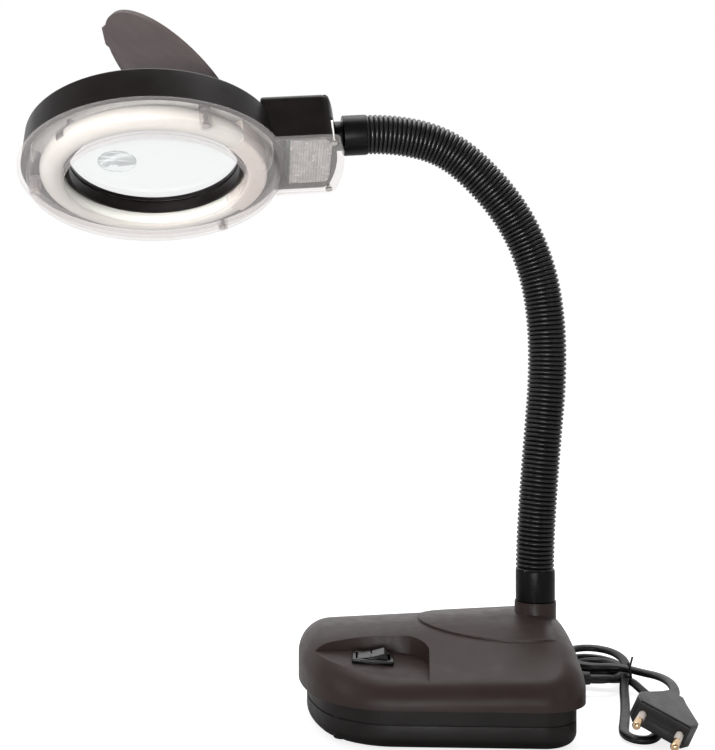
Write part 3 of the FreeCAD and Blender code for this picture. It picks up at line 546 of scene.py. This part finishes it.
def makePlug(values):
    yaw, pitch, roll = [math.radians(turn) for turn in values["turns"]]
    place = (Matrix.Translation(Vector(values["centre"]) * mm) @ Matrix.Rotation(yaw, 4, "Z")
             @ Matrix.Rotation(pitch, 4, "X") @ Matrix.Rotation(roll, 4, "Y"))
    forward = Matrix.Rotation(math.radians(90), 4, "X")      # the lathe's Z axis points out of the plug
    sleeves, tips = bmesh.new(), bmesh.new()
    for form, profile in ((sleeves, values["sleeve"]), (tips, values["tip"])):
        for side in (-1, 1):
            made = lathe(form, profile, 40)
            verts = list({vert for face in made for vert in face.verts})
            bmesh.ops.remove_doubles(form, verts=verts, dist=samePlace)
            verts = [vert for vert in verts if vert.is_valid]
            shift = Matrix.Translation((side * values["pinPitch"] / 2 * mm, 0, 0)) @ forward
            bmesh.ops.transform(form, matrix=shift, verts=verts)
    finishPiece("pinSleeves", sleeves, ivoryPlastic, "base", place)
    finishPiece("pinTips", tips, pinBrass, "base", place, ("plug_pins",), 50)
    smoothCopy("plug_body", "plugBody", plugPlastic, "base", 24, 0.0012, 4)


makePlug(plugValues)
smoothCopy("strain_relief", "strainRelief", flexPlastic, "base", 28, 0.0004, 3)
smoothCopy("twist_tie", "twistTie", flexPlastic, "base", 40)
print("mains lead ready")


# CAD pieces that keep their shape and take a finish

def restyle(node, material):
    nodes[node].data.materials.clear()
    nodes[node].data.materials.append(material)


plainPieces = (
    ("base_pad", foamRubber), ("ballast_weight", castIron), ("base_screws", plainSteel),
    ("neck_root_nut", plainSteel), ("neck_root_tube", plainSteel), ("switch_terminals", pinBrass),
    ("terminal_block", whitePlastic), ("head_nut", plainSteel), ("lid_pin", plainSteel),
    ("tube_clips", springSteel), ("driver_board", boardLaminate), ("driver_parts", whitePlastic),
)
for node, material in plainPieces:
    restyle(node, material)
print("plain pieces ready")


# Base

smoothCopy("base_cover", "baseCover", basePlastic, "base", 24, 0.0007, 4)
smoothCopy("base_tray", "baseTray", trayPlastic, "base", 24, 0.0004, 3)
smoothCopy("switch_housing", "switchBezel", switchPlastic, "base", 28, 0.0003, 3)
smoothCopy("switch_rocker", "switchRocker", switchPlastic, "rocker", 28, 0.0004, 3)
smoothCopy("lower_collar", "lowerCollar", collarPaint, "base", 28)
smoothCopy("upper_collar", "upperCollar", collarPaint, "neck_9", 28)
smoothCopy("neck_stub", "neckStub", collarPaint, "head", 28, 0.0003)
print("base ready")


# Gooseneck: a ribbed skin in lengths that each span one joint, following the neck's curve

neckValues = {
    "footX": -0.2, "footZ": 77.0, "lean": -0.75, "linkLength": 29.17,
    "ribsPerLink": 12, "crest": 10.4, "groove": 9.0,
    "ribShape": 0.55,           # less makes the ribs rounder and the grooves narrower
    "ringSteps": 8, "around": 48,
}


def findTurns(values):
    # Each link is an arc between two joints, so its chord leans by half of its turn
    names = sorted((name for name in joints if name.startswith("neck_")), key=lambda name: int(name[-1]))
    places = [Vector((values["footX"], values["footZ"]))]
    for name in names:
        place = Vector(joints[name]["pos_m"]) / mm
        places.append(Vector((place.dot(armAlong), place.z)))
    turns = []
    heading = math.radians(values["lean"])
    for start, end in zip(places, places[1:]):
        chord = math.atan2(start.x - end.x, end.y - start.y)
        turns.append(2 * (chord - heading))
        heading += turns[-1]
    turns.append(math.atan2(headX.dot(armAlong), -headX.z) - heading)
    return turns


neckTurns = findTurns(neckValues)


def neckLine(values, distance):
    # Place and directions at a distance along the middle of the neck
    length = values["linkLength"]
    x, z, heading = values["footX"], values["footZ"], math.radians(values["lean"])
    left = distance
    for index, turn in enumerate(neckTurns):
        bend = turn / length
        step = left if index == len(neckTurns) - 1 else min(left, length)
        x += (math.cos(heading + bend * step) - math.cos(heading)) / bend
        z += (math.sin(heading + bend * step) - math.sin(heading)) / bend
        heading += bend * step
        left -= step
        if left <= 1e-9:
            break
    place = armAlong * x * mm + Vector((0, 0, z * mm))
    ahead = armAlong * -math.sin(heading) + Vector((0, 0, math.cos(heading)))
    side = armAlong * math.cos(heading) + Vector((0, 0, math.sin(heading)))
    return place, ahead, side


def makeNeck(values):
    length = values["linkLength"]
    pitch = length / values["ribsPerLink"]
    count = len(neckTurns)
    for joint in range(1, count):
        start = 0.0 if joint == 1 else (joint - 0.5) * length
        end = count * length if joint == count - 1 else (joint + 0.5) * length
        rings = round((end - start) / pitch * values["ringSteps"])
        form = bmesh.new()
        previous = None
        for ring in range(rings + 1):
            distance = start + (end - start) * ring / rings
            phase = abs(math.cos(math.pi * distance / pitch))
            radius = values["groove"] + (values["crest"] - values["groove"]) * phase ** values["ribShape"]
            place, ahead, side = neckLine(values, distance)
            matrix = Matrix.Translation(place) @ Matrix((side, armAcross, ahead)).transposed().to_4x4()
            made = bmesh.ops.create_circle(form, segments=values["around"], radius=radius * mm, matrix=matrix)
            circle = list({edge for vert in made["verts"] for edge in vert.link_edges})
            if previous:
                bmesh.ops.bridge_loops(form, edges=previous + circle)
            previous = circle
        low = neckLine(values, (joint - 0.5) * length)[0]
        high = neckLine(values, (joint + 0.5) * length)[0]
        replaced = ["neck_sleeve_%d" % joint] + (["neck_sleeve_0"] if joint == 1 else [])
        piece = finishPiece("neckSkin_%d" % joint, form, neckPlastic, None, None, replaced, 60)
        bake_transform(piece)


makeNeck(neckValues)
for index in range(len(neckTurns)):
    restyle("neck_core_%d" % index, plainSteel)
print("neck ready")


# Head, drawn about the lens axis with +X towards the neck and +Z out of the top, in millimetres

headValues = {
    "dish": ((46.2, -6.8), (64.5, -6.8), (64.5, 0.0), (69.0, 0.0), (69.0, 2.0), (63.2, 2.0),
             (63.2, -5.5), (47.5, -5.5), (47.5, -4.2), (46.2, -4.2)),
    "dishRounding": (0.4, 1.6, 0.4, 0.7, 0.5, 0.2, 1.0, 0.3, 0.2, 0.3),
    "post": ((1.3, -4.9), (2.2, -4.9), (2.2, -7.3), (2.9, -7.3), (2.9, 2.0), (1.3, 2.0)),
    "postAngles": (-62, 58, 180),
    "postRadius": 61.3,
    "tubeRing": 52.3, "tubeRadius": 5.9, "tubeHeight": 0.9,
    "tubeStart": 40, "tubeSweep": 283,
    "cap": ((47.8, -4.4), (58.0, -4.4), (58.0, 9.0), (47.8, 9.0)),
    "capStart": -36.7, "capSweep": 76.4,
    "reflector": ((47.2, 9.8), (48.6, 9.8), (57.9, 16.2), (61.0, 16.2), (61.6, 9.5), (62.4, 9.5),
                  (62.0, 17.2), (57.6, 17.2), (48.2, 10.8), (47.2, 10.8)),
    "lens": ((0, 7.4), (44.6, 7.4), (44.6, 10.4), (43.4, 10.5), (36, 12.2), (27, 13.6), (18, 14.4), (9, 14.9),
             (0, 15.0)),
    "lensRing": ((43.6, 1.1), (44.7, 1.1), (44.7, 7.3), (43.6, 7.3)),
    "spot": ((0, 7.4), (9.8, 7.4), (9.8, 6.2), (8.4, 5.75), (6, 5.1), (3, 4.7), (0, 4.6)),
    "spotPlace": (-19.0, -3.5),
    "lensEdge": (43.9, 7.0, 0.28),      # radius, height and thickness
    "spotEdge": (9.6, 6.5, 0.2),
    "tailStart": 69.05, "tailHalf": 28.5, "tailEnd": 98.8, "tailCorner": 5.0,
    "tailLow": -0.8, "tailHigh": 1.7, "tailLip": 1.6,
    "panelHigh": 3.3, "panelThickness": 0.5, "panelStart": 70.2, "panelEnd": 92.2, "panelHalf": 21.6,
    "prismPitch": 1.5, "prismHeight": 0.75,
}


def headLathe(name, profile, material, replaced=(), steps=200, angle=360, start=0, offset=(0, 0)):
    form = bmesh.new()
    lathe(form, profile, steps, angle, start)
    matrix = headMatrix @ Matrix.Translation((offset[0] * mm, offset[1] * mm, 0))
    return finishPiece(name, form, material, "head", matrix, replaced)


def circleProfile(radius, height, size, steps=40):
    turns = [2 * math.pi * step / steps for step in range(steps)]
    return [(radius + size * math.cos(turn), height + size * math.sin(turn)) for turn in turns]


def makeLighting(values):
    headLathe("clearDish", roundedProfile(values["dish"], values["dishRounding"], 4), clearCover,
              ("clear_cover",))
    posts = bmesh.new()
    for angle in values["postAngles"]:
        made = lathe(posts, roundedProfile(values["post"], 0.25, 3), 36)
        verts = list({vert for face in made for vert in face.verts})
        around = math.radians(angle)
        place = Vector((math.cos(around), math.sin(around), 0)) * values["postRadius"] * mm
        bmesh.ops.transform(posts, matrix=Matrix.Translation(place), verts=verts)
    finishPiece("clearPosts", posts, clearCover, "head", headMatrix)
    section = circleProfile(values["tubeRing"], values["tubeHeight"], values["tubeRadius"])
    headLathe("lightTube", section, tubeGlass, ("light_tube",), 160, values["tubeSweep"],
              values["tubeStart"])
    headLathe("tubeCap", roundedProfile(values["cap"], 1.8, 6), ivoryPlastic, ("tube_cap",), 50,
              values["capSweep"], values["capStart"])
    headLathe("whiteReflector", values["reflector"], whitePlastic, ("reflector",))
    headLathe("magnifierLens", values["lens"], lensGlass, ("magnifier_lens",))
    headLathe("lensEdge", circleProfile(*values["lensEdge"], 12), edgeGlass)
    headLathe("lensRing", roundedProfile(values["lensRing"], 0.2, 2), headPlastic,
              ("lens_ring",))
    headLathe("spotLens", values["spot"], spotGlass, ("spot_lens",), 96,
              offset=values["spotPlace"])
    headLathe("spotEdge", circleProfile(*values["spotEdge"], 10), edgeGlass, (), 96,
              offset=values["spotPlace"])


def tailEndAt(values, y):
    # X of the tail's outer edge, an arc about the lens axis with rounded corners
    corner = values["tailCorner"]
    inner = values["tailHalf"] - corner
    x = math.sqrt(values["tailEnd"] ** 2 - min(abs(y), inner) ** 2)
    past = max(0.0, abs(y) - inner)
    return x - (corner - math.sqrt(max(0.0, corner ** 2 - past ** 2)))


def makeTail(values):
    form = bmesh.new()
    bmesh.ops.create_grid(form, x_segments=14, y_segments=64, size=1)
    for vert in form.verts:
        y = values["tailHalf"] * math.sin(vert.co.y * math.pi / 2)
        near, far = math.sqrt(values["tailStart"] ** 2 - y ** 2), tailEndAt(values, y)
        share = (vert.co.x + 1) / 2
        vert.co = Vector((near + (far - near) * share, y, values["tailLow"])) * mm
    bottom = list(form.faces)
    made = bmesh.ops.extrude_face_region(form, geom=bottom)
    raised = [vert for vert in made["geom"] if isinstance(vert, bmesh.types.BMVert)]
    bmesh.ops.translate(form, verts=raised, vec=(0, 0, (values["tailHigh"] - values["tailLow"]) * mm))
    bmesh.ops.recalc_face_normals(form, faces=form.faces)
    low = [face for face in form.faces if face.normal.z < -0.9]
    bmesh.ops.inset_region(form, faces=low, thickness=values["tailLip"] * mm, depth=values["tailLow"] * mm,
                           use_boundary=True, use_even_offset=True)
    finishPiece("clearTail", form, clearCover, "head", headMatrix)

    panel = bmesh.new()
    panelLength = values["panelEnd"] - values["panelStart"]
    across = round(panelLength / values["prismPitch"])
    count = round(2 * values["panelHalf"] / values["prismPitch"])
    bmesh.ops.create_grid(panel, x_segments=across, y_segments=count, size=1)
    for vert in panel.verts:
        x = values["panelStart"] + panelLength * (vert.co.x + 1) / 2
        z = values["panelHigh"] - values["panelThickness"]
        vert.co = Vector((x, values["panelHalf"] * vert.co.y, z)) * mm
    prisms = list(panel.faces)
    made = bmesh.ops.extrude_face_region(panel, geom=prisms)
    raised = [vert for vert in made["geom"] if isinstance(vert, bmesh.types.BMVert)]
    bmesh.ops.translate(panel, verts=raised, vec=(0, 0, values["panelThickness"] * mm))
    bmesh.ops.recalc_face_normals(panel, faces=panel.faces)
    low = [face for face in panel.faces if face.normal.z < -0.9]
    bmesh.ops.poke(panel, faces=low, offset=values["prismHeight"] * mm, center_mode="MEAN")
    finishPiece("prismPanel", panel, prismFoil, "head", headMatrix, ("prism_panel",), 15)
    smoothCopy("cover_screws", "coverScrews", brightSteel, "head", 28, 0.0002)


makeLighting(headValues)
makeTail(headValues)
smoothCopy("head_housing", "headHousing", headPlastic, "head", 28, 0.0004, 3)
smoothCopy("lid", "lensLid", lidPlastic, "lid", 28, 0.0004, 3)
print("head ready")
